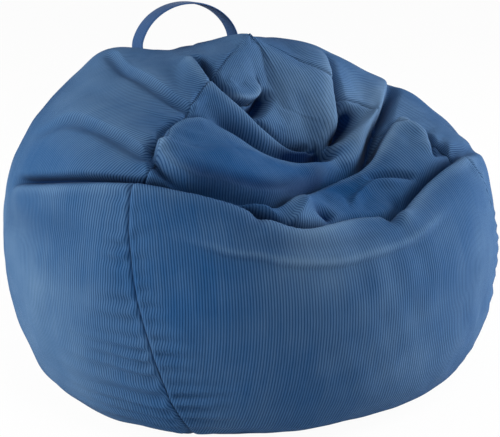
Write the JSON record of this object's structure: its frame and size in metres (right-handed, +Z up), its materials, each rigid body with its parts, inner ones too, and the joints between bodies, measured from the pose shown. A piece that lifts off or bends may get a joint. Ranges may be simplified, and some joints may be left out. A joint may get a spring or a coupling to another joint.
{
  "type": "bean bag chair",
  "caption": "Round corduroy bean bag chair with a pressed-in seat and back, a carrying handle, a zipped cover and an inner bag of beads.",
  "frame": {"origin": "centre of the flat underside, on the floor", "axes": "+Z up, the sitting side faces -Y, +X to the right of someone who looks at the chair from its front"},
  "size_m": [0.8742, 0.8706, 0.6358],
  "materials": {
    "corduroy": "ribbed, soft sheen",
    "strap": "ribbed, soft sheen",
    "zip_tape": "woven, matte",
    "zip_teeth": "satin",
    "zip_metal": "satin, antique",
    "liner": "woven polyester, matte",
    "label": "satin ribbon, blank",
    "beads": "expanded polystyrene beads, matte"
  },
  "bodies": {
    "root": {"front_panel": "corduroy", "rear_left_panel": "corduroy", "rear_right_panel": "corduroy", "base_panel": "corduroy", "zip_tape_left": "zip_tape", "zip_tape_right": "zip_tape", "zip_teeth_left": "zip_teeth", "zip_teeth_right": "zip_teeth", "zip_top_stop": "zip_metal", "zip_bottom_stop": "zip_metal", "care_label": "label", "liner_front_panel": "liner", "liner_rear_left_panel": "liner", "liner_rear_right_panel": "liner", "liner_base_panel": "liner", "liner_zip_tape_left": "liner", "liner_zip_tape_right": "liner", "liner_zip_teeth_left": "zip_teeth", "liner_zip_teeth_right": "zip_teeth", "liner_zip_stop_near": "zip_teeth", "liner_zip_stop_far": "zip_teeth", "bead_fill": "beads", "handle_end_left": "strap", "handle_end_right": "strap"},
    "handle": {"handle_strap": "strap"},
    "slider": {"zip_slider": "zip_metal"},
    "pull": {"zip_pull_tab": "zip_metal"},
    "liner_slider": {"liner_zip_slider": "zip_metal"}
  },
  "joints": [
    {"name": "handle_fold", "type": "hinge", "parent": "root", "child": "handle", "pos_m": [0.01312, 0.23298, 0.53738], "axis": [0.998, 0, -0.0628], "range_deg": [-95, 50], "stiffness_Nm_per_rad": 0.02},
    {"name": "zip_travel", "type": "hinge", "parent": "root", "child": "slider", "pos_m": [0, 0.1, 0.2], "axis": [1, 0, 0], "range_deg": [-44, 0]},
    {"name": "pull_swing", "type": "hinge", "parent": "slider", "child": "pull", "pos_m": [0, 0.37837, 0.39347], "axis": [1, 0, 0], "range_deg": [0, 165]},
    {"name": "liner_zip_travel", "type": "slide", "parent": "root", "child": "liner_slider", "axis": [1, 0, 0], "range_m": [-0.145, 0]}
  ]
}
